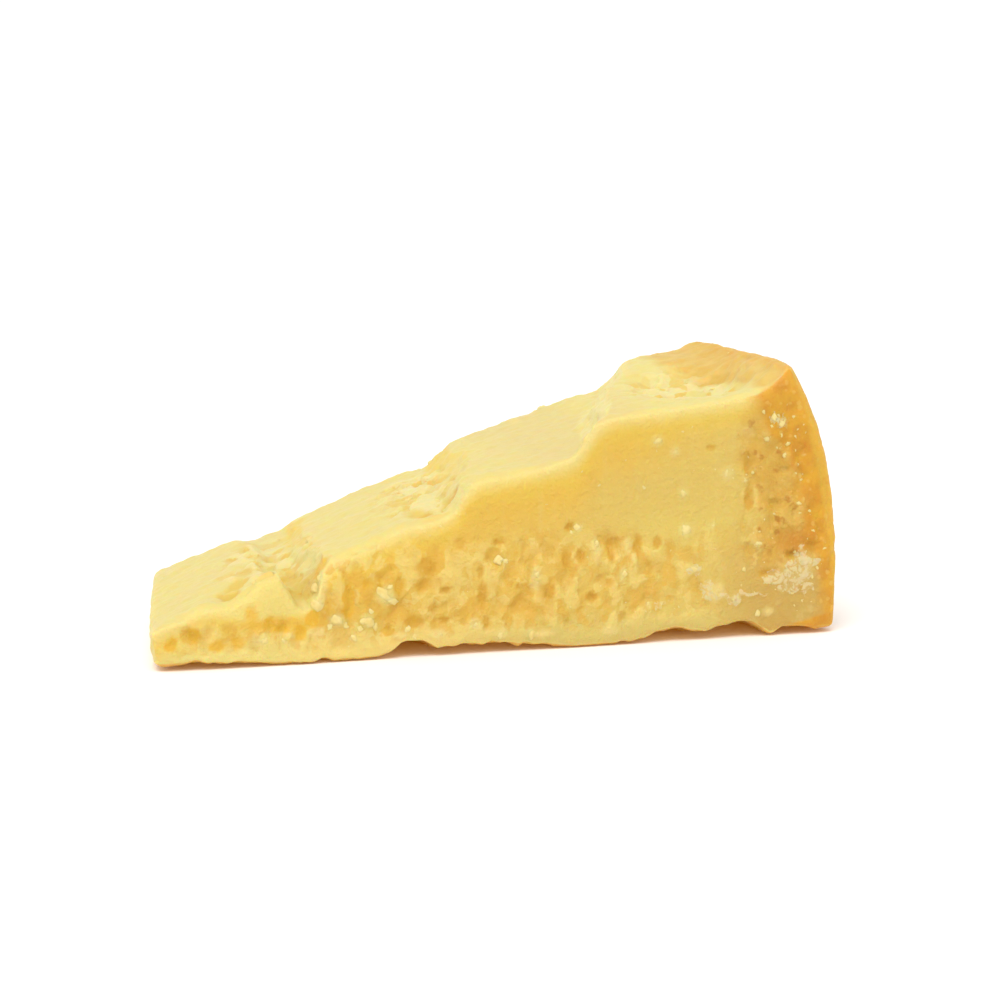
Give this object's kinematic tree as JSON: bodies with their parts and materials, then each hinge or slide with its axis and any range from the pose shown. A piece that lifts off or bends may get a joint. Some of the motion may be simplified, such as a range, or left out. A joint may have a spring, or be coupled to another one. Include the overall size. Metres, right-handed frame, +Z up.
{
  "type": "parmesan wedge",
  "caption": "Wedge of aged hard cheese lying on its side: sloping broken top in terraces, two cut faces, a curved rind at the thick end and a blunt broken tip.",
  "frame": {"origin": "middle of the underside it lies on, at the centre of the wedge's bounding box", "axes": "+X from the broken tip towards the rind, along the length; +Y towards the rear cut face; +Z up, square to the underside"},
  "size_m": [0.1933, 0.082, 0.0774],
  "materials": {
    "cheese": "granular golden-yellow paste, paler where it is split, darker towards the rind, slightly waxy with no gloss",
    "crystals": "pale cream crystals and crumbs, dry and matt"
  },
  "bodies": {
    "root": {"parmesan_wedge": "cheese"}
  },
  "joints": []
}
